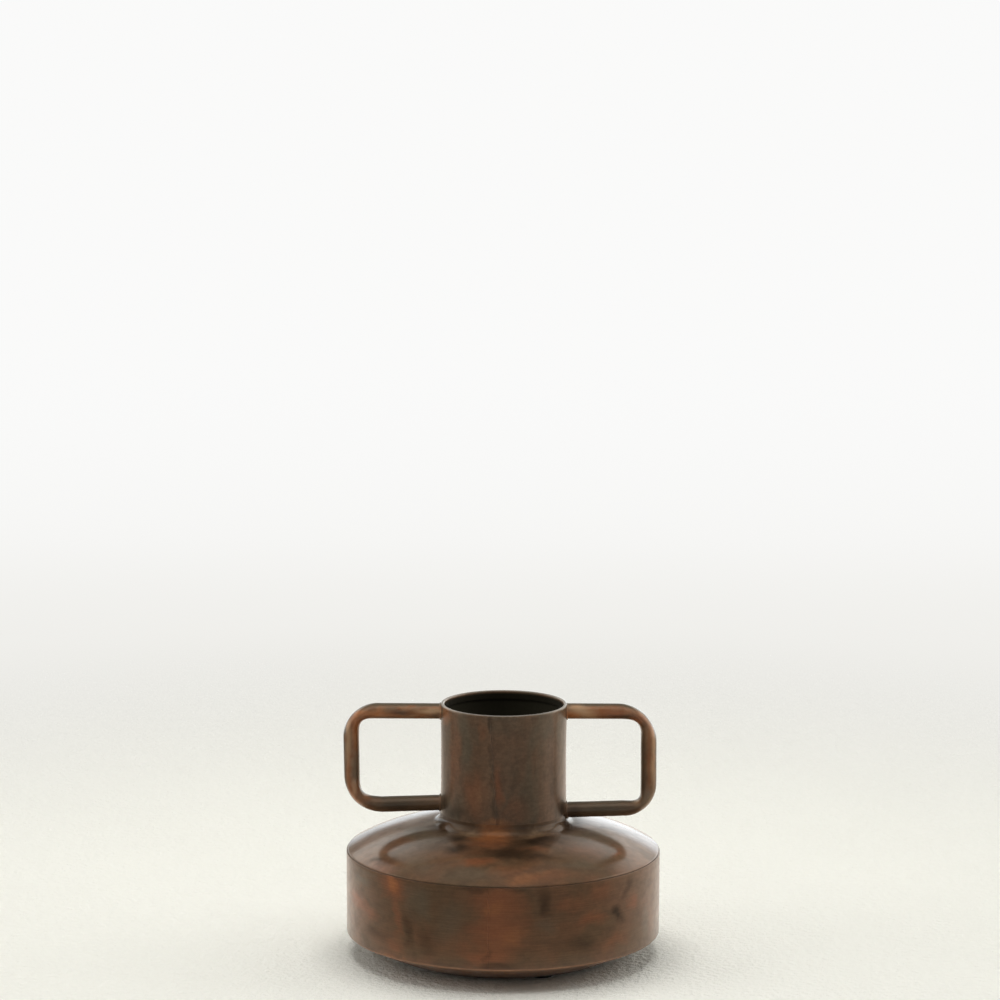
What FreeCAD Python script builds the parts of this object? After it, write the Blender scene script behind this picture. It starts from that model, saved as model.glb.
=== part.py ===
import FreeCAD, Part

import math
import os

from FreeCAD import Vector

# Urn vase of copper-coloured sheet: a round body, an upright neck and two bent tube handles. All lengths are in mm.
# The origin is on the body's axis, on the surface that the vase stands on. +Z is up, the front is towards -Y, and
# the handles lie along X. A point of a spun profile is (distance from the axis, height).

# Sheet and fits
sheet = 1.5
slip_fit = 0.1
weld_gap = 0.1
overrun = 20.0

# Pads under the base, the first one at the front right
pad_diameter = 25.0
pad_height = 3.0
pad_edge_inset = 4.0
pad_edge_bevel = 0.6
pad_count = 3
first_pad_angle = -67.2

# Base dish: a shallow cone from the band down to a flat floor
base_diameter = 230.0
base_cone_angle = 24.0
base_edge_round = 2.5
base_floor_round = 4.0

# Side band
body_diameter = 320.0
band_top_height = 107.0

# Shoulder: a low dome on the band, with a cove and a short collar under the neck
shoulder_setback = 1.0
shoulder_edge_round = 2.0
shoulder_edge_lip = 0.6
shoulder_flange_depth = 8.0
dome_radius = 210.0
dome_centre_offset = 55.0
cove_radius = 9.0
collar_height = 2.5

# Neck: a rolled tube with a slight waist and a hem folded inward at the rim
overall_height = 259.0
neck_diameter = 129.0
neck_waist = 0.7
hem_gap = 0.9
hem_depth = 9.0

# Handles: bent tube, flattened in the bends. The upper run lies a drop below the rim and the lower run a rise above
# the neck's foot. The outer run stands a setback inside the body's side. All are measured to the tube's centre line.
tube_diameter = 16.0
tube_wall = 1.5
bend_sections = 6

left_side_setback = 5.0
left_rim_drop = 9.0
left_foot_rise = 7.6
left_lower_run_angle = -1.8
left_upper_bend = 21.6
left_lower_bend = 27.8
left_flatness_share = 0.80

right_side_setback = 12.0
right_rim_drop = 8.3
right_foot_rise = 0.7
right_lower_run_angle = 2.0
right_upper_bend = 25.8
right_lower_bend = 19.8
right_flatness_share = 0.745

# Weld beads round the handle ends
bead_size = 1.8
bead_toe = 0.25
bead_root = 1.2
bead_rim_drop = 0.5

# Closing seams of the rolled sheets: a raised weld line, which leans on the neck
neck_seam_angle = -99.2
neck_seam_lean_angle = 3.6
neck_seam_width = 2.2
neck_seam_proud = 0.35
neck_seam_stop = 4.0
band_seam_angle = -95.3
band_seam_width = 2.0
band_seam_proud = 0.2
band_seam_stop = 1.0

# Sizes that follow from the ones above
up = Vector(0, 0, 1)
body_radius = body_diameter / 2
neck_radius = neck_diameter / 2
tube_radius = tube_diameter / 2
pad_circle_radius = (base_diameter - pad_diameter) / 2 - pad_edge_inset
edge_radius = body_radius - shoulder_setback
cone_slope = math.tan(math.radians(base_cone_angle))
cone_corner_height = pad_height + (body_radius - base_diameter / 2) * cone_slope
band_bottom_height = cone_corner_height + base_edge_round * math.tan(math.radians(45 - base_cone_angle / 2))
edge_centre = Vector(edge_radius - shoulder_edge_round, 0, band_top_height + shoulder_edge_lip)
dome_drop = math.sqrt((dome_radius - shoulder_edge_round) ** 2 - (edge_centre.x - dome_centre_offset) ** 2)
dome_centre = Vector(dome_centre_offset, 0, edge_centre.z - dome_drop)
cove_rise = math.sqrt((dome_radius + cove_radius) ** 2 - (neck_radius + cove_radius - dome_centre.x) ** 2)
cove_centre = Vector(neck_radius + cove_radius, 0, dome_centre.z + cove_rise)
collar_top_height = cove_centre.z + collar_height
hem_radius = sheet + hem_gap / 2
rim_centre_height = overall_height - hem_radius


def at(radius, height):
    """A point of a spun profile, in the XZ plane."""
    return Vector(radius, 0, height)


def toward(start, target, distance):
    """The point at a distance from start, on the line to target."""
    return start + (target - start).normalize() * distance


def line(start, end):
    return Part.makeLine(start, end)


def arc_about(centre, start, end):
    """The shorter arc about a centre, from start to end."""
    middle = (start + end) / 2 - centre
    return Part.Arc(start, centre + middle.normalize() * (start - centre).Length, end).toShape()


def spin(edges):
    """The solid that a closed profile makes round the axis."""
    profile = Part.Face(Part.Wire(Part.__sortEdges__(edges)))
    return profile.revolve(Vector(), up, 360)


def chain(points):
    """Straight edges from each point to the next."""
    return [line(start, end) for start, end in zip(points, points[1:])]


def neck_wall(offset):
    """The waisted wall of the neck, moved outward by the offset, from the collar to the rim's hem."""
    foot = at(neck_radius + offset, collar_top_height)
    waist_pole = at(neck_radius + offset - 2 * neck_waist, (collar_top_height + rim_centre_height) / 2)
    head = at(neck_radius + offset, rim_centre_height)
    curve = Part.BezierCurve()
    curve.setPoles([foot, waist_pole, head])
    return foot, curve.toShape(), head


def dome_wall(offset):
    """The collar, the cove and the dome, moved outward by the offset, with the dome's lower end at the edge round."""
    collar_top = at(neck_radius + offset, collar_top_height)
    cove_top = at(neck_radius + offset, cove_centre.z)
    cove_foot = toward(cove_centre, dome_centre, cove_radius - offset)
    dome_foot = toward(dome_centre, edge_centre, dome_radius + offset)
    edges = [line(collar_top, cove_top), arc_about(cove_centre, cove_top, cove_foot),
             arc_about(dome_centre, cove_foot, dome_foot)]
    return collar_top, edges, dome_foot


def neck_core(grow):
    """The neck filled to the axis and grown, for cutting what meets it."""
    foot, wall, head = neck_wall(grow)
    rim_centre = at(neck_radius - hem_radius, rim_centre_height)
    rim_top = rim_centre + up * (hem_radius + grow)
    return spin([wall, arc_about(rim_centre, head, rim_top)] + chain([rim_top, at(0, rim_top.z), at(0, foot.z), foot]))


def shoulder_core(grow):
    """The shoulder filled to the axis and grown, for cutting what meets it."""
    collar_top, edges, dome_foot = dome_wall(grow)
    return spin(edges + chain([dome_foot, at(0, dome_foot.z), at(0, collar_top.z), collar_top]))


def make_neck_tube():
    """A waisted tube whose top edge turns over a round and runs back down inside, a hem gap away from the wall."""
    foot, outer_wall, head = neck_wall(0)
    inner_foot, inner_wall, inner_head = neck_wall(-sheet)
    rim_centre = at(neck_radius - hem_radius, rim_centre_height)
    rim_top = at(rim_centre.x, overall_height)
    fold_top = at(rim_centre.x, rim_centre_height + hem_gap / 2)
    lip_face = at(rim_centre.x - hem_radius, rim_centre_height)
    lip_back = at(rim_centre.x - hem_gap / 2, rim_centre_height)
    lip_end_height = overall_height - hem_depth
    lip_end_face = at(lip_face.x, lip_end_height)
    lip_end_back = at(lip_back.x, lip_end_height)
    edges = [outer_wall, Part.Arc(head, rim_top, lip_face).toShape(), line(lip_face, lip_end_face),
             line(lip_end_face, lip_end_back), line(lip_end_back, lip_back),
             Part.Arc(lip_back, fold_top, inner_head).toShape(), inner_wall, line(inner_foot, foot)]
    return spin(edges)


def make_shoulder_dome():
    """The dome, with its edge on the band's top and a flange that drops inside the band."""
    collar_top, outer_edges, dome_foot = dome_wall(0)
    inner_top, inner_edges, _ = dome_wall(-sheet)
    edge_side = at(edge_radius, edge_centre.z)
    flange_radius = body_radius - sheet - slip_fit
    flange_inner_radius = flange_radius - sheet
    flange_foot_height = band_top_height - shoulder_flange_depth
    inner_dome_radius = dome_radius - sheet
    inner_foot_rise = math.sqrt(inner_dome_radius ** 2 - (flange_inner_radius - dome_centre.x) ** 2)
    inner_foot = at(flange_inner_radius, dome_centre.z + inner_foot_rise)
    inner_cove_foot = toward(cove_centre, dome_centre, cove_radius + sheet)
    edge_path = chain([edge_side, at(edge_radius, band_top_height), at(flange_radius, band_top_height),
                       at(flange_radius, flange_foot_height), at(flange_inner_radius, flange_foot_height), inner_foot])
    edges = outer_edges + [arc_about(edge_centre, dome_foot, edge_side)] + edge_path
    edges += [arc_about(dome_centre, inner_foot, inner_cove_foot)] + inner_edges[:2] + [line(inner_top, collar_top)]
    return spin(edges)


def make_side_band():
    """The rolled strip, a plain ring whose top edge stands a little outside the shoulder's."""
    inner_radius = body_radius - sheet
    corners = [at(body_radius, band_bottom_height), at(body_radius, band_top_height),
               at(inner_radius, band_top_height), at(inner_radius, band_bottom_height)]
    return spin(chain(corners + corners[:1]))


def dish_wall(offset):
    """The dish's face from the band's foot to the axis, moved outward by the offset."""
    outward = Vector(math.sin(math.radians(base_cone_angle)), 0, -math.cos(math.radians(base_cone_angle)))
    side_centre = at(body_radius - base_edge_round, band_bottom_height)
    floor_tangent = base_floor_round * math.tan(math.radians(base_cone_angle / 2))
    floor_centre = at(base_diameter / 2 - floor_tangent, pad_height + base_floor_round)
    side_top = at(body_radius + offset, band_bottom_height)
    cone_top = side_centre + outward * (base_edge_round + offset)
    cone_foot = floor_centre + outward * (base_floor_round + offset)
    floor_edge = floor_centre - up * (base_floor_round + offset)
    floor_middle = at(0, floor_edge.z)
    edges = [arc_about(side_centre, side_top, cone_top), line(cone_top, cone_foot),
             arc_about(floor_centre, cone_foot, floor_edge), line(floor_edge, floor_middle)]
    return side_top, edges, floor_middle


def make_base_dish():
    """A spun dish, its rim on the band's lower edge."""
    outer_top, outer_edges, outer_middle = dish_wall(0)
    inner_top, inner_edges, inner_middle = dish_wall(-sheet)
    return spin(outer_edges + inner_edges + [line(outer_top, inner_top), line(outer_middle, inner_middle)])


def make_pad(number):
    """A round pad with a bevelled lower edge, under the base's flat floor."""
    angle = math.radians(first_pad_angle + number * 360 / pad_count)
    centre = Vector(pad_circle_radius * math.cos(angle), pad_circle_radius * math.sin(angle), 0)
    pad = Part.makeCylinder(pad_diameter / 2, pad_height, centre)
    lower_edges = [edge for edge in pad.Edges if edge.BoundBox.ZMax < pad_height / 2]
    return pad.makeChamfer(pad_edge_bevel, lower_edges)


class HandlePath:
    """The centre line of one handle: out from the neck, down and back, with a bend at each outer corner."""

    def __init__(self, side, side_setback, rim_drop, foot_rise, lower_run_angle, upper_bend, lower_bend,
                 flatness_share):
        slope = math.tan(math.radians(lower_run_angle))
        reach = body_radius - side_setback
        upper_height = overall_height - rim_drop
        lower_height = collar_top_height + foot_rise
        self.side = side
        self.flatness_share = flatness_share
        self.bend_radii = (upper_bend, lower_bend)
        inside = neck_radius - tube_radius
        corner_height = lower_height + (reach - neck_radius) * slope
        root_height = lower_height + (inside - neck_radius) * slope
        self.points = [Vector(side * inside, 0, upper_height), Vector(side * reach, 0, upper_height),
                       Vector(side * reach, 0, corner_height), Vector(side * inside, 0, root_height)]

    def bend(self, number):
        """The centre, start and end of one bend, and the turn between them in radians."""
        before, corner, after = self.points[number:number + 3]
        back = (before - corner).normalize()
        ahead = (after - corner).normalize()
        turn = math.pi - back.getAngle(ahead)
        tangent_length = self.bend_radii[number] * math.tan(turn / 2)
        centre_distance = self.bend_radii[number] / math.cos(turn / 2)
        centre = corner + (back + ahead).normalize() * centre_distance
        return centre, corner + back * tangent_length, corner + ahead * tangent_length, turn


def bend_ring(path, centre, start, turn, share, inset):
    """The tube's outline at a share of a bend: an ellipse, thinner in the bend's plane by as much as it is wider."""
    spoke = FreeCAD.Rotation(Vector(0, path.side, 0), math.degrees(turn) * share).multVec(start - centre)
    middle = centre + spoke
    narrowing = (1 - path.flatness_share) * math.sin(math.pi * share) ** 2
    thin = tube_radius * (1 - narrowing)
    wide = tube_radius * (1 + narrowing)
    outline = Part.Ellipse(Vector(), wide - inset, thin - inset).toShape()
    across = Vector(0, 1, 0)
    along = across.cross(spoke)
    outline.Placement = FreeCAD.Placement(middle, FreeCAD.Rotation(across, spoke, along, "ZXY"))
    return Part.Wire(outline)


def tube_run(start, end, radius):
    """A straight round run of tube."""
    return Part.makeCylinder(radius, (end - start).Length, start, end - start)


def bent_bar(path, inset):
    """The handle as a filled bar, with its surface moved in by the inset."""
    runs = []
    last = path.points[0]
    for number in range(len(path.bend_radii)):
        centre, start, end, turn = path.bend(number)
        runs.append(tube_run(last, start, tube_radius - inset))
        rings = [bend_ring(path, centre, start, turn, step / bend_sections, inset) for step in range(bend_sections + 1)]
        runs.append(Part.makeLoft(rings, True))
        last = end
    runs.append(tube_run(last, path.points[-1], tube_radius - inset))
    return runs[0].multiFuse(runs[1:]).removeSplitter()


def make_handle(path):
    """A hollow bent tube whose ends are cut to the neck's curve."""
    tube = bent_bar(path, 0).cut(bent_bar(path, tube_wall))
    return tube.cut([neck_core(weld_gap), shoulder_core(weld_gap)])


def make_bead(root, outer):
    """A fillet weld round one end of a handle: a short cone, cut out to the neck, the shoulder and the tube."""
    run = (outer - root).normalize()
    wall_length = (neck_radius - abs(root.x)) / abs(run.x)
    foot = root + run * (wall_length - bead_root)
    length = bead_root + bead_size
    cone = Part.makeCone(tube_radius + length + bead_toe, tube_radius + bead_toe, length, foot, run)
    bar = tube_run(root, root + run * (wall_length + overrun), tube_radius)
    below_rim = Part.makeCylinder(neck_radius + overrun, overall_height - bead_rim_drop)
    return cone.cut([neck_core(weld_gap), shoulder_core(weld_gap), bar]).common(below_rim)


def seam_line(shell, angle, width, lean, foot_height, head_height):
    """The strip of a thin shell that lies in an upright slab, turned to an angle and leaning in the wall's plane."""
    length = head_height - foot_height
    reach = body_radius + overrun
    slab = Part.makeBox(reach, width, length + overrun * 2, Vector(0, -width / 2, -length / 2 - overrun))
    slab.rotate(Vector(), Vector(1, 0, 0), lean)
    slab.rotate(Vector(), up, angle)
    slab.translate(up * (foot_height + length / 2))
    keep = Part.makeCylinder(reach, length, up * foot_height)
    return shell.common(slab).common(keep)


def make_neck_seam():
    """The weld line that closes the rolled neck, standing a little proud."""
    shell = neck_core(neck_seam_proud).cut(neck_core(0))
    return seam_line(shell, neck_seam_angle, neck_seam_width, neck_seam_lean_angle, collar_top_height,
                     rim_centre_height - neck_seam_stop)


def make_band_seam():
    """The weld line that closes the rolled band, nearly flush."""
    height = band_top_height - band_bottom_height
    ring = Part.makeCylinder(body_radius + band_seam_proud, height, up * band_bottom_height)
    shell = ring.cut(Part.makeCylinder(body_radius, height, up * band_bottom_height))
    return seam_line(shell, band_seam_angle, band_seam_width, 0, band_bottom_height + band_seam_stop,
                     band_top_height - band_seam_stop)


def make_all():
    """Every piece of the vase under its node's name."""
    left = HandlePath(-1, left_side_setback, left_rim_drop, left_foot_rise, left_lower_run_angle,
                      left_upper_bend, left_lower_bend, left_flatness_share)
    right = HandlePath(1, right_side_setback, right_rim_drop, right_foot_rise, right_lower_run_angle,
                       right_upper_bend, right_lower_bend, right_flatness_share)
    pieces = {"neck_tube": make_neck_tube(), "shoulder_dome": make_shoulder_dome(), "side_band": make_side_band(),
              "base_dish": make_base_dish(), "neck_seam_weld": make_neck_seam(), "band_seam_weld": make_band_seam()}
    for name, path in (("left", left), ("right", right)):
        upper_root, upper_corner, lower_corner, lower_root = path.points
        pieces[name + "_handle"] = make_handle(path)
        pieces[name + "_upper_weld"] = make_bead(upper_root, upper_corner)
        pieces[name + "_lower_weld"] = make_bead(lower_root, lower_corner)
    for number, place in enumerate(("front", "rear", "side")):
        pieces[place + "_pad"] = make_pad(number)
    return pieces


os.makedirs("parts", exist_ok=True)
for node, shape in make_all().items():
    solid = shape.Solids[0] if len(shape.Solids) == 1 else shape
    solid.exportStep("parts/" + node + ".step")
    box = solid.BoundBox
    print(f"{node}: solids {len(shape.Solids)}, valid {solid.isValid()}, volume {solid.Volume:.1f}, "
          f"X {box.XMin:.1f} to {box.XMax:.1f}, Y {box.YMin:.1f} to {box.YMax:.1f}, Z {box.ZMin:.1f} to {box.ZMax:.1f}")
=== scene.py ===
"""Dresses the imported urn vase: smooth spun and rolled sheets, bent tube handles, welds, patina, and a studio."""
import math

import bmesh
import bpy
from mathutils import Matrix, Vector


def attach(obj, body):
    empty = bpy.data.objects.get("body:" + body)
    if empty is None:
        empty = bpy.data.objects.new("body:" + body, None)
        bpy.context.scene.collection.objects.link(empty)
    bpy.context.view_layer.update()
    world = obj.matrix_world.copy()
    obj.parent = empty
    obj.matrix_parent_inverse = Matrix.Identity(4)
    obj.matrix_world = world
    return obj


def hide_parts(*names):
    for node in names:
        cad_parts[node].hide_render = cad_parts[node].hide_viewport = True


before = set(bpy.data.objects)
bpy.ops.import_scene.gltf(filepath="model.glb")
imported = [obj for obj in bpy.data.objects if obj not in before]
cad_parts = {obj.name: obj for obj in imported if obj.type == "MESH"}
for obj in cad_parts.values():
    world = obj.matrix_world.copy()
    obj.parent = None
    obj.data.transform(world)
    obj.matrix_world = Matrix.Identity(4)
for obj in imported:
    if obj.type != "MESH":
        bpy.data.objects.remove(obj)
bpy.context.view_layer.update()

bl_info = {
    "name": "Urn Vase Maker",
    "version": (1, 0, 0),
    "blender": (4, 5, 0),
    "location": "3D View > Sidebar > Urn Vase",
    "description": "Makes a patinated sheet-metal urn vase with tube handles around its packed solids",
    "category": "Add Mesh",
}

MM = 0.001

# Forms that the solids share, in millimetres and degrees. Pairs are (distance from the axis, height).
SHEET = 1.5
LIP_DROP = 0.01
HEM_GAP = 0.9
HEM_DEPTH = 9.0
COLLAR_TOP = 147.04
COVE_CENTRE = (73.5, 144.54)
COVE_RADIUS = 9.0
DOME_CENTRE = (55.0, -73.68)
DOME_RADIUS = 210.0
EDGE_CENTRE = (157.0, 107.6)
EDGE_ROUND = 2.0
FLANGE_DEPTH = 8.0
FLANGE_GAP = 0.1
BAND_TOP = 107.0
BAND_BOTTOM = 24.66
BASE_CORNER_ROUND = 2.5
BASE_FLOOR_ROUND = 4.0
BASE_CONE_ANGLE = 24.0
PAD_HEIGHT = 3.0
PAD_CIRCLE = 98.5
FIRST_PAD_ANGLE = -67.2
TUBE_RADIUS = 8.0
NECK_SEAM_X = -10.3
NECK_SEAM_MIDDLE = 200.42
NECK_SEAM_LEAN = 3.6
BAND_SEAM_X = -14.8


def length_property(name, text, default):
    """A length in metres that the sidebar shows with its unit."""
    return bpy.props.FloatProperty(name=name, description=text, default=default, min=0, subtype="DISTANCE",
                                   unit="LENGTH")


def colour_property(name, text, default):
    """A linear colour."""
    return bpy.props.FloatVectorProperty(name=name, description=text, default=default, size=3, min=0, max=1,
                                         subtype="COLOR")


class VaseSizes(bpy.types.PropertyGroup):
    """Sizes that a user would change."""
    overall_height: length_property("Overall height", "Height of the rim over the floor", 0.259)
    neck_radius: length_property("Neck radius", "Radius of the neck's outside at its ends", 0.0645)
    neck_waist: length_property("Neck waist", "How far the neck narrows at half its height", 0.0007)
    body_radius: length_property("Body radius", "Radius of the side band's outside", 0.16)
    dent_depth: length_property("Dent depth", "How far hand work moves the sheet", 0.00035)
    dent_size: length_property("Dent size", "Width of the soft dents", 0.055)
    ripple_pitch: length_property("Weld ripple pitch", "Distance between the ripples of a weld", 0.0021)
    pad_radius: length_property("Pad radius", "Radius of each rubber pad", 0.0125)
    segments: bpy.props.IntProperty(name="Segments", description="Faces round each spun piece", default=256,
                                    min=32)
    seed: bpy.props.IntProperty(name="Seed", description="Picks the pattern of dents", default=7, min=0)


class VaseColours(bpy.types.PropertyGroup):
    """Colours of the finish."""
    brown: colour_property("Brown", "Main tone of the patina", (0.155, 0.081, 0.038))
    # Umber also serves as painted shade in the cove and at the neck's foot
    umber: colour_property("Umber", "Darkest stains", (0.026, 0.0155, 0.0085))
    copper: colour_property("Copper", "Rubbed copper", (0.33, 0.110, 0.044))
    orange: colour_property("Orange", "Brightest heat colour", (0.54, 0.195, 0.062))
    # Tan also serves as painted highlights on the handles and in the cove, and as painted reflection under the
    # base
    tan: colour_property("Tan", "Pale rubbed copper on the tubes and the lip", (0.60, 0.38, 0.22))
    olive: colour_property("Olive", "Cool grey-green oxide", (0.162, 0.125, 0.082))
    inside: colour_property("Inside", "Blackened inside of the vase", (0.0135, 0.0125, 0.008))
    rubber: colour_property("Rubber", "Pads under the base", (0.012, 0.012, 0.012))
    floor: colour_property("Floor", "Floor and backdrop", (0.85, 0.843, 0.795))


class Value:
    """What a node puts out. Its methods and arithmetic add nodes that take it in to its tree."""

    def __init__(self, socket):
        self.socket = socket

    def into(self, kind, inputs=None, output=0, **settings):
        """What a new node gives that has this value as its first input, unless the inputs say otherwise."""
        return result(self.socket.id_data, kind, {0: self} | (inputs or {}), output, **settings)

    def siblings(self):
        """All that the same node gives, by name."""
        return outputs_of(self.socket.node)

    def math(self, operation, *others):
        """One Math node."""
        return self.into("ShaderNodeMath", dict(enumerate(others, 1)), operation=operation)

    def __add__(self, other):
        return self.math("ADD", other)

    def __sub__(self, other):
        return self.math("SUBTRACT", other)

    def __rsub__(self, other):
        return self.into("ShaderNodeMath", {0: other, 1: self}, operation="SUBTRACT")

    def __mul__(self, other):
        return self.math("MULTIPLY", other)

    def __truediv__(self, other):
        return self.math("DIVIDE", other)

    def ramp(self, low, high):
        """Rises smoothly from 0 at low to 1 at high. High may be the smaller one."""
        return self.into("ShaderNodeMapRange", {"From Min": low, "From Max": high}, "Result",
                         interpolation_type="SMOOTHSTEP")

    def vector(self, operation, *others, output="Vector"):
        """One Vector Math node."""
        return self.into("ShaderNodeVectorMath", dict(enumerate(others, 1)), output, operation=operation)

    def scaled(self, scale):
        """A vector made longer or shorter."""
        return self.into("ShaderNodeVectorMath", {"Scale": scale}, operation="SCALE")

    def xyz(self):
        """The X, Y and Z of a vector."""
        return self.into("ShaderNodeSeparateXYZ").siblings().values()

    def noise(self, seed, scale, detail, roughness=0.5, distortion=0.0):
        """The Fac and Color, at this place, of a noise that a seed picks."""
        return self.into("ShaderNodeTexNoise", {
            "W": seed, "Scale": scale, "Detail": detail, "Roughness": roughness, "Distortion": distortion},
            noise_dimensions="4D").siblings()

    def group(self, name, inputs):
        """What a copy of the named shader group gives at this place."""
        return self.into("ShaderNodeGroup", inputs, node_tree=node_group(name)).siblings()

    def mix(self, first, second):
        """Two colours mixed by this share."""
        return self.into("ShaderNodeMix", {6: four(first), 7: four(second)}, 2, data_type="RGBA")

    def tinted(self, colour):
        """This colour times another."""
        return self.into("ShaderNodeMix", {0: 1.0, 6: self, 7: four(colour)}, 2, data_type="RGBA",
                         blend_type="MULTIPLY")

    def grey(self):
        """This level as a colour."""
        return self.into("ShaderNodeCombineColor", {"Green": self, "Blue": self})

    def bump(self, strength, distance=0.0002):
        """Normals that this height bends."""
        return self.into("ShaderNodeBump", {0: strength, "Distance": distance, "Height": self})


def set_inputs(node, inputs):
    """Links each named input to a value, or sets it to a plain one."""
    for key, value in inputs.items():
        if isinstance(value, Value):
            node.id_data.links.new(value.socket, node.inputs[key])
        else:
            node.inputs[key].default_value = value


def add_node(tree, kind, inputs=None, **settings):
    """A node with its settings and its inputs."""
    node = tree.nodes.new(kind)
    for key, value in settings.items():
        setattr(node, key, value)
    set_inputs(node, inputs or {})
    return node


def result(tree, kind, inputs=None, output=0, **settings):
    """What one output of a new node gives."""
    return Value(add_node(tree, kind, inputs, **settings).outputs[output])


def outputs_of(node):
    """What a node gives, by the names of its outputs."""
    return {socket.name: Value(socket) for socket in node.outputs}


def four(colour):
    """A colour as a colour input takes it."""
    return colour if isinstance(colour, Value) else (*colour[:3], 1.0)


def plain_mix(share, first, second):
    """Two plain colours mixed by a plain share."""
    return [one + (two - one) * share for one, two in zip(first, second)]


SOCKET_KINDS = {int: "Int", float: "Float", tuple: "Vector"}


def group_tree(name, kind, inputs, outputs):
    """An empty node group, what its inputs give, and its output node.

    An input comes with its default, or with its kind where it has none. An output comes with its kind."""
    tree = bpy.data.node_groups.new(name, kind)
    for way, sockets in (("OUTPUT", outputs), ("INPUT", inputs)):
        for label, value in sockets.items():
            plain = isinstance(value, str)
            socket_kind = "NodeSocket" + (value if plain else SOCKET_KINDS[type(value)])
            socket = tree.interface.new_socket(name=label, in_out=way, socket_type=socket_kind)
            if not plain:
                socket.default_value = value
    return tree, outputs_of(tree.nodes.new("NodeGroupInput")), tree.nodes.new("NodeGroupOutput")


def geometry_group(name, inputs):
    """An empty Geometry Nodes group that takes a Material and gives a Geometry."""
    return group_tree(name, "GeometryNodeTree", inputs | {"Material": "Material"}, {"Geometry": "Geometry"})


def finish_geometry(end, geometry, material, sharp_angle):
    """Ends a tree: smooth faces, sharp edges over an angle, real geometry and its material."""
    angle = result(end.id_data, "GeometryNodeInputMeshEdgeAngle", output="Unsigned Angle")
    soft = angle.into("FunctionNodeCompare", {1: sharp_angle}, data_type="FLOAT", operation="LESS_THAN")
    for domain, smooth in (("FACE", True), ("EDGE", soft)):
        geometry = geometry.into("GeometryNodeSetShadeSmooth", {"Shade Smooth": smooth}, domain=domain)
    geometry = geometry.into("GeometryNodeRealizeInstances")
    set_inputs(end, {0: geometry.into("GeometryNodeSetMaterial", {"Material": material})})


def soft_noise(tree, size, seed, detail=1.0):
    """Noise from -1 to 1 at the place of each point, the same for pieces that meet."""
    place = result(tree, "GeometryNodeInputPosition").vector("DIVIDE", size)
    return place.noise(seed, 1.0, detail)["Fac"].math("MULTIPLY_ADD", 2.0, -1.0)


def swept(path, radius, sides, scale=1.0):
    """A closed rod along a path."""
    ring = sides.into("GeometryNodeCurvePrimitiveCircle", {"Radius": radius})
    return path.into("GeometryNodeCurveToMesh", {"Profile Curve": ring, "Scale": scale, "Fill Caps": True})


def spun_sheet_tree():
    """Turns a profile in the XZ plane round the Z axis and moves the wall by soft dents, mostly inward."""
    tree, given, end = geometry_group("Spun sheet", {
        "Profile": "Geometry", "Segments": 256, "Dent depth": 0.0003, "Dent size": 0.06, "Seed": 0,
        "Sharp angle": 0.6})
    axis_gap = 0.01
    profile = given["Profile"].into("GeometryNodeMeshToCurve").into("GeometryNodeTransform", {
        "Rotation": (math.radians(90), 0, 0), "Translation": (-axis_gap, 0, 0)})
    circle = given["Segments"].into("GeometryNodeCurvePrimitiveCircle", {"Radius": axis_gap})
    circle = circle.into("GeometryNodeSetCurveNormal", mode="Z_UP")
    wall = circle.into("GeometryNodeCurveToMesh", {"Profile Curve": profile})
    wall = wall.into("GeometryNodeMergeByDistance", {"Distance": 0.000002})
    outward = result(tree, "GeometryNodeInputPosition").vector("MULTIPLY", (1, 1, 0)).vector("NORMALIZE")
    depth = (soft_noise(tree, given["Dent size"], given["Seed"]) - 0.7) * given["Dent depth"]
    wall = wall.into("GeometryNodeSetPosition", {"Offset": outward.scaled(depth)})
    finish_geometry(end, wall, given["Material"], given["Sharp angle"])
    return tree


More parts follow.
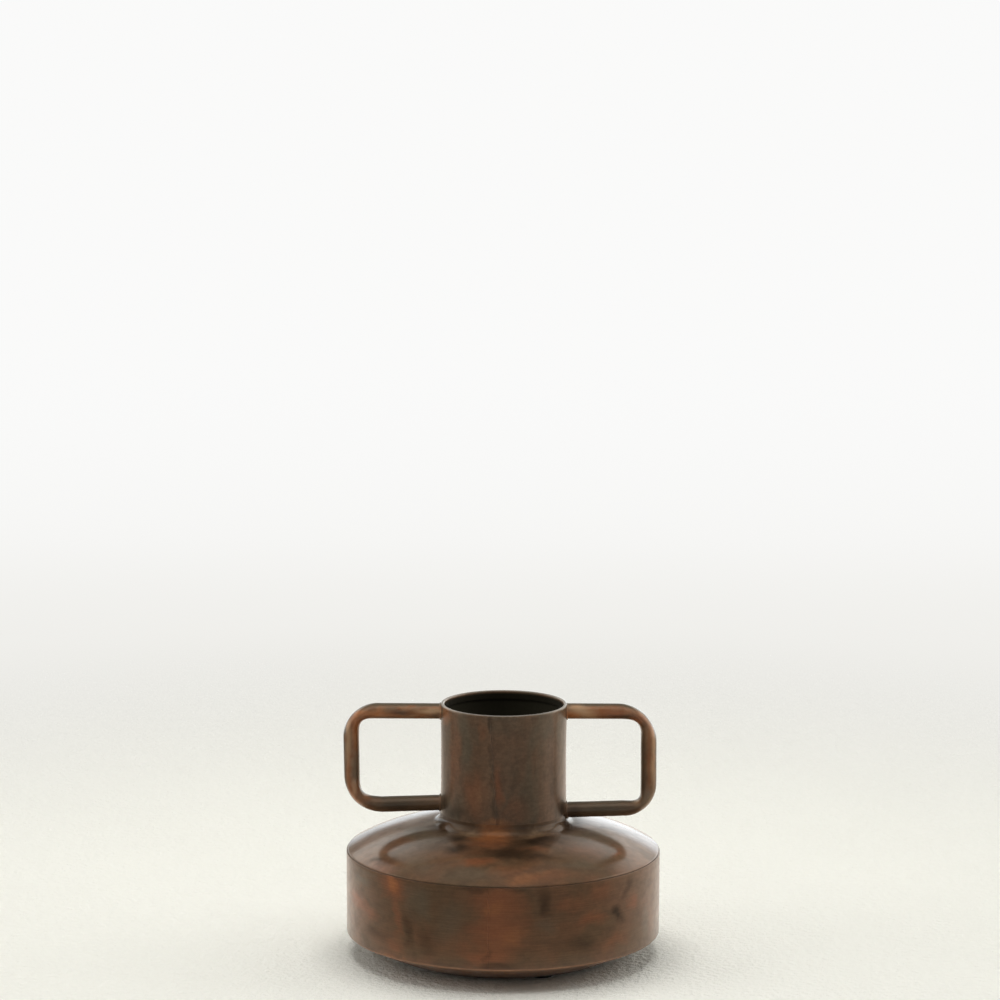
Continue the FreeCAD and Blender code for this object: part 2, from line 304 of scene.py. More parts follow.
def bent_tube_tree():
    """Sweeps a tube along a path, flattens it where the path's narrowing says, and copes its ends to the neck."""
    tree, given, end = geometry_group("Bent tube", {
        "Path": "Geometry", "Tube radius": 0.008, "Sides": 48, "Neck radius": 0.0645, "Cove height": 0.1445,
        "Cove radius": 0.009, "Dent depth": 0.0002, "Dent size": 0.03, "Seed": 0})
    kept = add_node(tree, "GeometryNodeCaptureAttribute", domain="POINT")
    kept.capture_items.new("VECTOR", "Centre")
    kept.capture_items.new("VECTOR", "Run")
    set_inputs(kept, {0: given["Path"].into("GeometryNodeMeshToCurve"),
                      "Centre": result(tree, "GeometryNodeInputPosition"),
                      "Run": result(tree, "GeometryNodeInputTangent")})
    path, centre, run = (Value(kept.outputs[key]) for key in (0, "Centre", "Run"))
    narrowing = result(tree, "GeometryNodeInputNamedAttribute", {"Name": "narrowing"}, data_type="FLOAT")
    spoke = run.vector("CROSS_PRODUCT", (0, 1, 0)).vector("NORMALIZE")
    offset = result(tree, "GeometryNodeInputPosition").vector("SUBTRACT", centre)
    in_plane = offset.vector("DOT_PRODUCT", spoke, output="Value")
    _, across, _ = offset.xyz()
    shrink = spoke.scaled(in_plane * (narrowing * -1.0))
    widen = result(tree, "ShaderNodeCombineXYZ", {"Y": across * narrowing})
    depth = soft_noise(tree, given["Dent size"], given["Seed"]) * given["Dent depth"]
    change = shrink.vector("ADD", widen).vector("ADD", offset.vector("NORMALIZE").scaled(depth))
    tube = swept(path, given["Tube radius"], given["Sides"]).into("GeometryNodeSetPosition", {"Offset": change})
    # The ends stop at the neck, or at the cove where it swells out below
    x, y, z = result(tree, "GeometryNodeInputPosition").xyz()
    cove = given["Cove radius"]
    below = (given["Cove height"] - z).math("MAXIMUM", 0.0).math("MINIMUM", cove)
    swell = cove - (cove.math("POWER", 2.0) - below.math("POWER", 2.0)).math("SQRT")
    wall = given["Neck radius"] + swell
    reach = (wall.math("POWER", 2.0) - y.math("POWER", 2.0)).math("SQRT")
    held = x.math("SIGN") * x.math("ABSOLUTE").math("MAXIMUM", reach)
    coped = tube.into("GeometryNodeSetPosition", {"Position": held.into("ShaderNodeCombineXYZ", {"Y": y, "Z": z})})
    finish_geometry(end, coped, given["Material"], math.radians(50))
    return tree


def weld_bead_tree():
    """Lays a rippled bead along a path."""
    tree, given, end = geometry_group("Weld bead", {
        "Path": "Geometry", "Bead radius": 0.0015, "Ripple pitch": 0.002, "Ripple depth": 0.1, "Unevenness": 0.1,
        "Sides": 14, "Seed": 0})
    steps_in_ripple, middle_of_ripple, lump_size = 6.0, 0.6, 0.006
    path = given["Path"].into("GeometryNodeMeshToCurve").into("GeometryNodeResampleCurve", {
        "Length": given["Ripple pitch"] / steps_in_ripple}, mode="LENGTH")
    turns = result(tree, "GeometryNodeSplineParameter", output="Length") / given["Ripple pitch"]
    ripple = ((turns * math.pi).math("SINE").math("ABSOLUTE") - middle_of_ripple) * given["Ripple depth"]
    uneven = soft_noise(tree, (lump_size,) * 3, given["Seed"], 2.0) * given["Unevenness"]
    bead = swept(path, given["Bead radius"], given["Sides"], ripple + uneven + 1.0)
    finish_geometry(end, bead, given["Material"], math.radians(60))
    return tree


def ring_of_pads_tree():
    """Places copies of a pad at equal turns round a circle."""
    tree, given, end = geometry_group("Ring of pads", {
        "Pad": "Geometry", "Count": 3, "Circle radius": 0.0985, "First angle": 0.0})
    turn = result(tree, "ShaderNodeCombineXYZ", {"Z": given["First angle"]})
    circle = given["Count"].into("GeometryNodeMeshCircle", {"Radius": given["Circle radius"]})
    circle = circle.into("GeometryNodeTransform", {"Rotation": turn})
    pads = circle.into("GeometryNodeInstanceOnPoints", {"Instance": given["Pad"]})
    finish_geometry(end, pads, given["Material"], math.radians(35))
    return tree


# Profiles and paths are worked out in millimetres.

def on_circle(centre, radius, angle):
    """A point at an angle in degrees, from the axis outward and up."""
    return (centre[0] + radius * math.cos(math.radians(angle)), centre[1] + radius * math.sin(math.radians(angle)))


def arc(centre, radius, start, end, steps):
    """Points along an arc, both ends included."""
    return [on_circle(centre, radius, start + (end - start) * step / steps) for step in range(steps + 1)]


def run_of(start, end, steps):
    """Points along a straight run, both ends left out."""
    return [(start[0] + (end[0] - start[0]) * step / steps, start[1] + (end[1] - start[1]) * step / steps)
            for step in range(1, steps)]


def angle_between(centre, point):
    """The angle in degrees from a centre to a point."""
    return math.degrees(math.atan2(point[1] - centre[1], point[0] - centre[0]))


def neck_offset(sizes, height):
    """How far the neck's wall stands in from its end radius at a height."""
    share = (height - COLLAR_TOP) / (sizes.overall_height / MM - COLLAR_TOP)
    share = min(max(share, 0), 1)
    return 4 * sizes.neck_waist / MM * share * (1 - share)


def neck_profile(sizes):
    """The neck's wall with its rolled hem, a closed loop: the points outside the mouth, then those inside it."""
    top = sizes.overall_height / MM - LIP_DROP
    radius = sizes.neck_radius / MM
    hem_radius = SHEET + HEM_GAP / 2
    hem_x, hem_z = radius - hem_radius, top - hem_radius
    wall_steps, ease = 36, 0.3
    heights = [COLLAR_TOP + (hem_z - COLLAR_TOP) * step / wall_steps for step in range(wall_steps)]
    outside = [(radius - neck_offset(sizes, height), height) for height in heights]
    inside = [(radius - SHEET - neck_offset(sizes, height), height) for height in reversed(heights)]
    inner_x, outer_x, low = hem_x - hem_radius, hem_x - HEM_GAP / 2, top - HEM_DEPTH
    lip = run_of((inner_x, hem_z), (inner_x, low), 5)
    lip += [(inner_x, low + ease), (inner_x + ease, low), (outer_x - ease, low), (outer_x, low + ease)]
    centre = (hem_x, hem_z)
    return outside + arc(centre, hem_radius, 0, 180, 20), lip + arc(centre, HEM_GAP / 2, 180, 0, 8) + inside


def shoulder_profile(sizes):
    """The collar, cove, dome and rolled edge, then the flange and the inner face, a closed loop."""
    radius = sizes.neck_radius / MM
    to_cove = angle_between(DOME_CENTRE, COVE_CENTRE)
    to_edge = angle_between(DOME_CENTRE, EDGE_CENTRE)
    flange_outside = sizes.body_radius / MM - SHEET - FLANGE_GAP
    flange_inside = flange_outside - SHEET
    flange_foot = BAND_TOP - FLANGE_DEPTH
    inner_radius = DOME_RADIUS - SHEET
    inner_foot = math.degrees(math.acos((flange_inside - DOME_CENTRE[0]) / inner_radius))
    outside = [(radius, COLLAR_TOP)] + arc(COVE_CENTRE, COVE_RADIUS, 180, 180 + to_cove, 18)
    outside += arc(DOME_CENTRE, DOME_RADIUS, to_cove, to_edge, 40)[1:]
    outside += arc(EDGE_CENTRE, EDGE_ROUND, to_edge, 0, 7)[1:]
    flange = [(EDGE_CENTRE[0] + EDGE_ROUND, BAND_TOP), (flange_outside, BAND_TOP), (flange_outside, flange_foot),
              (flange_inside, flange_foot)]
    inside = arc(DOME_CENTRE, inner_radius, inner_foot, to_cove, 30)
    inside += arc(COVE_CENTRE, COVE_RADIUS + SHEET, 180 + to_cove, 180, 12)[1:] + [(radius - SHEET, COLLAR_TOP)]
    return outside, flange + inside


def band_profile(sizes):
    """The side band's outer face with its upper edge eased, then its inner face, a closed loop."""
    outer = sizes.body_radius / MM
    ease = 0.35
    corner = (outer - ease, BAND_TOP - ease)
    outside = [(outer, BAND_BOTTOM)]
    outside += [(outer, height) for _, height in run_of((outer, BAND_BOTTOM), corner, 24)]
    inside = [(outer - SHEET, BAND_TOP + (BAND_BOTTOM - BAND_TOP) * step / 12) for step in range(13)]
    return outside + arc(corner, ease, 0, 90, 4), inside


def base_profile(sizes):
    """The dish's two faces from the middle of the floor out and back, an open line that ends on the axis."""
    faces = []
    slope = math.tan(math.radians(BASE_CONE_ANGLE))
    corner = (sizes.body_radius / MM - BASE_CORNER_ROUND, BAND_BOTTOM)
    cone_foot_radius = sizes.body_radius / MM - (BAND_BOTTOM - BASE_CORNER_ROUND * math.tan(
        math.radians(45 - BASE_CONE_ANGLE / 2)) - PAD_HEIGHT) / slope
    floor = (cone_foot_radius - BASE_FLOOR_ROUND * math.tan(math.radians(BASE_CONE_ANGLE / 2)),
             PAD_HEIGHT + BASE_FLOOR_ROUND)
    low = -90 + BASE_CONE_ANGLE
    for inset, way in ((0, 1), (SHEET, -1)):
        floor_round = arc(floor, BASE_FLOOR_ROUND - inset, -90, low, 6)
        corner_round = arc(corner, BASE_CORNER_ROUND - inset, low, 0, 8)
        face = [(0, floor_round[0][1])] + run_of((0, floor_round[0][1]), floor_round[0], 8)
        face += floor_round + run_of(floor_round[-1], corner_round[0], 10) + corner_round
        faces.append(face[::way])
    return faces


def pad_profile(sizes):
    """A pad with eased edges, an open line that ends on the axis, and no inner face."""
    radius = sizes.pad_radius / MM
    ease, top_ease = 0.6, 0.2
    foot = [(0, 0), (radius * 0.5, 0), (radius - ease - 0.4, 0)] + arc((radius - ease, ease), ease, -90, 0, 5)
    top = [(radius, PAD_HEIGHT - top_ease), (radius - top_ease, PAD_HEIGHT), (radius * 0.5, PAD_HEIGHT)]
    return foot + top + [(0, PAD_HEIGHT)], []


# Bends are the lengths of tube that the upper and the lower bend take, and flatter is how much of the tube's
# radius the bending takes at their middles. Rise and lean are in degrees.
HANDLES = {
    "left": {"side": -1, "reach": 154.57, "upper": 250.2, "lower": 155.0, "rise": -1.9, "lean": -1.15,
             "bends": (44.0, 51.5), "flatter": (0.235, 0.2)},
    "right": {"side": 1, "reach": 147.5, "upper": 250.8, "lower": 148.1, "rise": 2.0, "lean": 0.35,
              "bends": (52.5, 41.5), "flatter": (0.27, 0.255)},
}


def bend_points(length, turn, heading, flatter):
    """Offsets, with the tube's narrowing at each, along a bend that starts and ends gently."""
    steps = 40
    place = Vector((0.0, 0.0))
    points = []
    for step in range(steps + 1):
        points.append((place.copy(), flatter * math.sin(math.pi * step / steps) ** 2.2))
        middle = (step + 0.5) / steps
        angle = heading - turn * (middle - 0.5 * math.sin(2 * math.pi * middle) / (2 * math.pi))
        place += Vector((math.cos(angle), math.sin(angle))) * (length / steps)
    return points


def handle_path(sizes, form):
    """Points of a handle's centre line with the tube's narrowing at each: out from the neck, down and back."""
    neck = sizes.neck_radius / MM
    rise, lean = math.radians(form["rise"]), math.radians(form["lean"])
    inside = neck - TUBE_RADIUS
    middle = (form["upper"] + form["lower"]) / 2
    upper = bend_points(form["bends"][0], math.pi / 2 + lean, 0.0, form["flatter"][0])
    lower = bend_points(form["bends"][1], math.pi / 2 - lean + rise, -math.pi / 2 - lean, form["flatter"][1])

    def leg(height):
        """How far out the upright run is at a height."""
        return form["reach"] - math.tan(lean) * (height - middle)

    upper_end, lower_end = upper[-1][0], lower[-1][0]
    upper_start = Vector((leg(form["upper"] + upper_end.y) - upper_end.x, form["upper"]))
    # The lower bend starts where its end comes to lie on the lower run
    slope = math.tan(rise)
    level = form["lower"] + slope * (form["reach"] + math.tan(lean) * middle + lower_end.x - neck) - lower_end.y
    level /= 1 + slope * math.tan(lean)
    foot = Vector((inside, form["lower"] + (inside - neck) * slope))
    points = [(Vector((inside, form["upper"])), 0.0)]
    lower_start, foot_end, steps = Vector((leg(level), level)), [(Vector((0, 0)), 0.0)], 22
    for start, bend in ((upper_start, upper), (lower_start, lower), (foot, foot_end)):
        last = points[-1][0]
        points += [(last + (start - last) * step / steps, 0.0) for step in range(1, steps)]
        points += [(start + offset, narrowing) for offset, narrowing in bend]
    return [((form["side"] * point.x, 0.0, point.y), narrowing) for point, narrowing in points]


def wall_radius(sizes, height):
    """The outside radius of the neck, or of the cove below it, at a height."""
    below = min(max(COVE_CENTRE[1] - height, 0), COVE_RADIUS)
    swell = COVE_RADIUS - math.sqrt(COVE_RADIUS ** 2 - below ** 2)
    return sizes.neck_radius / MM - neck_offset(sizes, height) + swell


def joint_path(sizes, form, height, rise):
    """The closed line where a handle's tube meets the neck, a bead's centre line."""
    spread, lift, lip_margin, steps = 0.1, 0.06, 1.6, 72
    slope = math.tan(math.radians(rise))
    highest = sizes.overall_height / MM - lip_margin
    points = []
    for step in range(steps):
        turn = 2 * math.pi * step / steps
        across = (TUBE_RADIUS + spread) * math.cos(turn)
        level = min(height + (TUBE_RADIUS + spread) * math.sin(turn), highest)
        radius = wall_radius(sizes, level) + lift
        out = math.sqrt(radius ** 2 - across ** 2)
        points.append((form["side"] * out, across, level + (out - sizes.neck_radius / MM) * slope))
    return points


def seam_path(wall, low, high, steps, middle, lean, waves):
    """A weld line up the front of a round wall, through a place across at half its height.

    It leans by degrees and strays by waves, each a (reach, pace, start)."""
    points = []
    slope = math.tan(math.radians(lean))
    for step in range(steps):
        height = low + (high - low) * step / (steps - 1)
        across = middle + ((low + high) / 2 - height) * slope
        across += sum(reach * math.sin(height * pace + start) for reach, pace, start in waves)
        points.append((across, -math.sqrt(wall(height) ** 2 - across ** 2), height))
    return points


def neck_seam_path(sizes):
    """The uneven weld line up the front of the neck."""
    above_cove, below_lip, sunk = 0.8, 6.0, 0.66
    return seam_path(lambda height: wall_radius(sizes, height) - sunk, COLLAR_TOP + above_cove,
                     sizes.overall_height / MM - below_lip, 90, NECK_SEAM_X, NECK_SEAM_LEAN,
                     ((0.45, 0.21, 0), (0.3, 0.53, 1.1), (0.15, 1.3, 0)))


def band_seam_path(sizes):
    """The nearly flush weld line up the front of the band."""
    margin, sunk = 1.0, 0.62
    return seam_path(lambda height: sizes.body_radius / MM - sunk, BAND_BOTTOM + margin, BAND_TOP - margin, 60,
                     BAND_SEAM_X, 0, ((0.25, 0.3, 0), (0.15, 0.9, 0)))


def line_object(name, points, closed, attributes=None):
    """A mesh of edges through points given in millimetres, with attributes on its points."""
    mesh = bpy.data.meshes.new(name)
    edges = [(number, number + 1) for number in range(len(points) - 1)]
    if closed:
        edges.append((len(points) - 1, 0))
    mesh.from_pydata([tuple(value * MM for value in point) for point in points], edges, [])
    for label, values in (attributes or {}).items():
        mesh.attributes.new(label, "FLOAT", "POINT").data.foreach_set("value", values)
    shape = bpy.data.objects.new(name, mesh)
    bpy.context.scene.collection.objects.link(shape)
    return shape


def spun_line(name, profile, closed):
    """A profile's outer and inner points as an edge mesh in the XZ plane, with the inner ones marked."""
    outer, inner = profile
    marks = [0.0] * len(outer) + [1.0] * len(inner)
    points = [(radius, 0.0, height) for radius, height in outer + inner]
    return line_object(name, points, closed, {"inside": marks})


def apply_trees(shape, steps):
    """Runs Geometry Nodes trees on an object in turn and keeps the result as its plain mesh, faces outward."""
    for tree_name, values in steps.items():
        modifier = shape.modifiers.new(tree_name, "NODES")
        modifier.node_group = node_group(tree_name)
        for item in modifier.node_group.interface.items_tree:
            if item.in_out == "INPUT" and item.name in values:
                modifier[item.identifier] = values[item.name]
    graph = bpy.context.evaluated_depsgraph_get()
    made = bpy.data.meshes.new_from_object(shape.evaluated_get(graph))
    old = shape.data
    shape.modifiers.clear()
    shape.data = made
    made.name = shape.name
    bpy.data.meshes.remove(old)
    form = bmesh.new()
    form.from_mesh(made)
    bmesh.ops.remove_doubles(form, verts=form.verts, dist=0.0000005)
    bmesh.ops.recalc_face_normals(form, faces=form.faces)
    open_edges = sum(1 for edge in form.edges if len(edge.link_faces) != 2)
    volume = form.calc_volume(signed=True)
    form.to_mesh(made)
    form.free()
    if open_edges or volume <= 0:
        raise RuntimeError(f"{shape.name} isn't closed with its faces outward: {open_edges} edges, {volume}")


def settle(shape, slot, *nodes):
    """Attaches a finished piece to the root body and hides the solids that it stands for; the slot, the name of
    its finish, is not used.
    """
    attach(shape, "root")
    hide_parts(*nodes)


def clouds_group():
    """Soft clouds, a finer mottle and specks, each from 0 to 1, and the place that the clouds bend."""
    tree, given, end = group_tree("Clouds", "ShaderNodeTree", {
        "Vector": "Vector", "Size": 0.04, "Stretch": (1, 1, 1), "Seed": 0.0}, {
        "Cloud": "Float", "Mottle": "Float", "Speckle": "Float", "Warped": "Vector"})
    place = given["Vector"].vector("MULTIPLY", given["Stretch"]).vector("DIVIDE", given["Size"])
    cloud = place.noise(given["Seed"], 1.0, 3.0, distortion=0.6)
    mottle = place.noise(given["Seed"] + 3.7, 3.4, 3.0, distortion=0.3)
    speckle = place.noise(given["Seed"] + 9.1, 16.0, 4.0, 0.7)
    fine, slow = (source["Color"].vector("SUBTRACT", (0.5, 0.5, 0.5)).scaled(given["Size"] * reach)
                  for source, reach in ((mottle, 0.22), (cloud, 0.8)))
    set_inputs(end, {"Cloud": cloud["Fac"].ramp(0.34, 0.66), "Mottle": mottle["Fac"].ramp(0.3, 0.7),
                     "Speckle": speckle["Fac"].ramp(0.3, 0.7),
                     "Warped": given["Vector"].vector("ADD", fine.vector("ADD", slow))})
    return tree


def stain_group():
    """One soft-edged stain: its strength in its middle and 0 past its size, in its own turned coordinates."""
    tree, given, end = group_tree("Stain", "ShaderNodeTree", {
        "Vector": "Vector", "Centre": (0, 0, 0), "Turn": (0, 0, 0), "Size": (1, 1, 1), "Strength": 1.0},
        {"Mask": "Float"})
    local = given["Vector"].into("ShaderNodeMapping", {
        "Location": given["Centre"], "Rotation": given["Turn"], "Scale": given["Size"]}, vector_type="TEXTURE")
    away = local.vector("LENGTH", output="Value")
    set_inputs(end, {"Mask": away.ramp(1.0, 0.1) * given["Strength"]})
    return tree


def brushed_group():
    """Thin lines left by turning or rubbing, from 0 to 1, and the height for a bump."""
    tree, given, end = group_tree("Brushed lines", "ShaderNodeTree", {
        "Vector": "Vector", "Fineness": (60, 60, 1400), "Seed": 0.0}, {"Lines": "Float", "Height": "Float"})
    fine = given["Vector"].vector("MULTIPLY", given["Fineness"]).noise(given["Seed"], 1.0, 2.0, 0.6)["Fac"]
    broad = given["Vector"].noise(given["Seed"], 160.0, 2.0)["Fac"]
    set_inputs(end, {"Lines": fine.ramp(0.3, 0.7), "Height": fine * 0.5 + broad * 0.6})
    return tree


GROUPS = {"Spun sheet": spun_sheet_tree, "Bent tube": bent_tube_tree, "Weld bead": weld_bead_tree,
          "Ring of pads": ring_of_pads_tree, "Clouds": clouds_group, "Stain": stain_group,
          "Brushed lines": brushed_group}


def node_group(name):
    """The named node group, made on its first use."""
    return bpy.data.node_groups.get(name) or GROUPS[name]()


def new_material(name, shader_inputs):
    """A material with one Principled shader whose plain values are set on its own sockets."""
    material = bpy.data.materials.new(name)
    material.use_nodes = True
    tree = material.node_tree
    tree.nodes.clear()
    shader = add_node(tree, "ShaderNodeBsdfPrincipled", shader_inputs)
    output = add_node(tree, "ShaderNodeOutputMaterial", {"Surface": Value(shader.outputs[0])})
    return material, shader, output, result(tree, "ShaderNodeTexCoord", output="Object")


# A stain is (colour, strength, angle round the axis from the front in degrees, distance from the axis, height,
# width, height or depth along the slope, and tilt in degrees where it has one), lengths in millimetres. Some
# entries are painted shade, painted highlights or painted reflections, as marked beside them.
NECK_STAINS_AND_SHADE = (
    ("olive", 0.6, -72, 64, 170, 14, 40), ("copper", 0.4, -52, 64, 215, 14, 60),
    ("orange", 0.5, -66, 64, 252, 14, 12), ("olive", 0.5, -42, 64, 246, 16, 14),
    ("olive", 0.65, -36, 64, 218, 12, 32), ("olive", 0.35, -27, 64, 238, 14, 16),
    ("copper", 0.3, -18, 64, 244, 7, 14), ("copper", 0.55, -25, 64, 176, 20, 34),
    ("tan", 0.12, -22, 64, 174, 14, 24), ("tan", 0.07, -13, 64, 200, 12, 90),
    ("copper", 0.6, -4, 64, 186, 8, 30), ("copper", 0.25, 10, 64, 160, 20, 24),
    ("olive", 0.35, 34, 64, 238, 26, 26), ("umber", 0.28, 56, 64, 185, 14, 70),
    # Painted shade: the umber entries at heights 154 and 155 just below darken the neck's foot, where it meets the
    # cove
    ("umber", 0.85, 68, 64, 155, 18, 17), ("umber", 0.6, -47, 64, 154, 20, 12),
    ("umber", 0.6, -68, 64, 154, 18, 16), ("orange", 0.4, -6, 64, 148, 22, 7),
    ("copper", 0.4, 150, 64, 200, 26, 50), ("umber", 0.4, 190, 64, 170, 24, 40),
    ("olive", 0.5, 215, 64, 220, 22, 60),
)
SHOULDER_STAINS_AND_PAINTED_LIGHT = (
    # Painted shade: the umber entry round the axis just below darkens the cove round the neck
    ("umber", 0.9, 0, 0, 138, 100, 100), ("olive", 0.75, -66, 88, 133, 40, 22),
    ("olive", 0.4, -15, 146, 115, 60, 16), ("olive", 0.5, -38, 138, 119, 40, 18),
    ("olive", 0.6, 34, 134, 121, 34, 12), ("olive", 0.6, 66, 98, 131, 24, 30),
    ("umber", 0.35, -44, 104, 130, 34, 26), ("copper", 0.3, 46, 116, 127, 34, 16),
    ("orange", 0.7, -11, 71, 139, 30, 20), ("copper", 0.5, -8, 88, 133, 28, 15),
    # Painted shade: the umber entries at 78 and -78 degrees just below darken the sides of the cove
    ("umber", 0.95, 27, 82, 134, 50, 24), ("umber", 0.7, 78, 69, 141, 56, 14),
    ("umber", 0.7, -78, 69, 141, 56, 14), ("olive", 0.6, -66, 88, 133, 46, 28),
    # Painted highlights: the two tan entries just below are glints in the cove
    ("olive", 0.4, 60, 88, 133, 40, 22), ("tan", 0.33, -31, 67, 139, 26, 7), ("tan", 0.3, 29, 67, 139, 34, 7),
    ("umber", 0.35, 6, 92, 132, 16, 12), ("umber", 0.9, -37, 84, 134, 26, 18),
    ("umber", 0.85, -24, 104, 129, 24, 17), ("copper", 0.4, 18, 102, 131, 20, 10),
    ("umber", 0.85, 3, 108, 128, 48, 22), ("umber", 0.6, 18, 118, 127, 20, 9),
    ("copper", 0.7, -12, 127, 124, 28, 12, 8), ("copper", 0.3, 3, 138, 119, 34, 12, 14),
    ("orange", 0.3, 10, 148, 115, 30, 10, 8), ("copper", 0.22, 20, 151, 114, 40, 13),
    ("copper", 0.35, -52, 148, 114, 26, 13, 20), ("copper", 0.5, 58, 132, 121, 22, 8),
    # Painted shade: the umber entry at -56 degrees just below dims the reflection beside the bright left edge of
    # the dome
    ("umber", 0.7, -56, 147, 115, 26, 10, 20), ("copper", 0.5, 165, 120, 125, 70, 26),
    ("umber", 0.5, 200, 110, 128, 50, 26), ("copper", 0.4, 110, 135, 120, 40, 24),
)
BAND_STAINS_AND_REFLECTION = (
    ("olive", 0.85, -63, 160, 92, 28, 12), ("olive", 0.4, -60, 160, 104, 26, 7),
    ("copper", 0.8, -66, 160, 68, 30, 13), ("copper", 0.5, -55, 160, 66, 20, 12),
    ("copper", 0.9, -43, 160, 96, 32, 18), ("orange", 0.5, -43, 160, 97, 16, 10),
    ("copper", 0.5, -41, 160, 70, 9, 28), ("umber", 0.45, -52, 160, 46, 30, 10),
    # Painted reflection: the orange entry at -43 degrees and 27 mm just below is a thin glint along the band's
    # lower edge
    ("copper", 0.5, -42, 160, 40, 14, 12), ("orange", 0.45, -43, 160, 27, 24, 6),
    ("olive", 0.6, -33, 160, 88, 20, 30), ("umber", 0.45, -36, 160, 58, 12, 22),
    ("umber", 0.4, -27, 160, 48, 18, 22), ("olive", 0.35, -20, 160, 70, 24, 34),
    ("umber", 0.4, -5, 160, 106, 50, 7), ("copper", 0.78, -1, 160, 92, 36, 24),
    ("orange", 0.3, -3, 160, 84, 16, 7), ("copper", 0.8, 0, 160, 66, 40, 30),
    ("orange", 0.25, 5, 160, 58, 16, 12), ("copper", 0.75, -5, 160, 42, 36, 20),
    ("umber", 0.35, -5.5, 160, 44, 6, 14), ("umber", 0.5, -2, 160, 29, 30, 8),
    ("umber", 0.6, 15, 160, 94, 13, 22), ("olive", 0.4, 16, 160, 66, 18, 20),
    ("copper", 0.35, 26, 160, 88, 22, 14), ("copper", 0.55, 35, 160, 68, 24, 11),
    ("copper", 0.4, 38, 160, 94, 24, 14), ("umber", 0.4, 28, 160, 44, 30, 11),
    ("umber", 0.9, 46, 160, 68, 13, 13), ("umber", 0.5, 51, 160, 92, 7, 16, 12),
    ("copper", 0.6, 55, 160, 76, 11, 13), ("copper", 0.35, 45, 160, 42, 24, 12),
    ("olive", 0.6, 64, 160, 48, 16, 24), ("copper", 0.7, 120, 160, 70, 60, 30),
    ("umber", 0.6, 150, 160, 60, 50, 36), ("copper", 0.6, 185, 160, 80, 50, 26),
    ("olive", 0.7, 215, 160, 60, 50, 34), ("copper", 0.6, 250, 160, 50, 40, 30),
)
BASE_STAINS_AND_REFLECTION = (
    # Painted reflection: the wide copper entry at the front just below and the wide tan entry at the end brighten
    # the underside's front as the pale floor's reflection
    ("copper", 0.6, 0, 150, 18, 220, 30), ("olive", 0.35, 10, 130, 8, 90, 12),
    ("copper", 0.4, -45, 150, 18, 40, 14), ("umber", 0.5, 160, 120, 8, 90, 30),
    ("tan", 0.14, 0, 150, 18, 240, 30),
)
METALLIC = 0.55
SPECULAR_TINT = (0.8, 0.6, 0.45, 1.0)
STAIN_REACH = 0.05


def add_stains(warped, colour, stains, colours, level):
    """Lays stains, and the painted shade, highlights and reflections listed among them, over a colour in turn.
    Gives the colour, and how dull the dark ones make the lacquer.
    """
    dull = 0.0
    for key, strength, angle, away, height, width, tall, *tilt in stains:
        turn, tilt = math.radians(angle), math.radians(sum(tilt))
        mask = warped.group("Stain", {
            "Centre": (away * MM * math.sin(turn), -away * MM * math.cos(turn), height * MM),
            "Size": (width * MM, tall * MM, STAIN_REACH) if level else (
                width * MM, max(width, tall) * MM, tall * MM),
            "Turn": (0, 0, turn + tilt) if level else (0, tilt, turn), "Strength": strength})["Mask"]
        colour = mask.mix(colour, getattr(colours, key))
        if key == "umber":
            dull = mask.math("MAXIMUM", dull)
    return colour, dull


def mark_neck(place, mottle, colour, colours, lip):
    """Darkens the neck beside its weld line and paints the top of its lip pale grey, as worn lacquer and as a
    painted highlight.
    """
    x, y, z = place.xyz()
    lean = (NECK_SEAM_MIDDLE * MM - z) * math.tan(math.radians(NECK_SEAM_LEAN))
    line = x - NECK_SEAM_X * MM - lean + (mottle - 0.5) * 0.004
    beside = line.math("ABSOLUTE").ramp(0.0045, 0.0005) * (mottle * 0.8 + 0.35)
    ends = z.ramp(0.172, 0.154) * 0.4 + z.ramp(0.215, 0.24) * 0.2
    in_front = y.math("LESS_THAN", 0.0)
    colour = (beside * ((ends + 0.18) * in_front)).mix(colour, colours.umber)
    # Pale grey along the top of the lip: worn lacquer and a painted highlight on the rim
    return (z.ramp(lip - 0.0011, lip - 0.0002) * 0.5).mix(colour, (0.42, 0.41, 0.38))


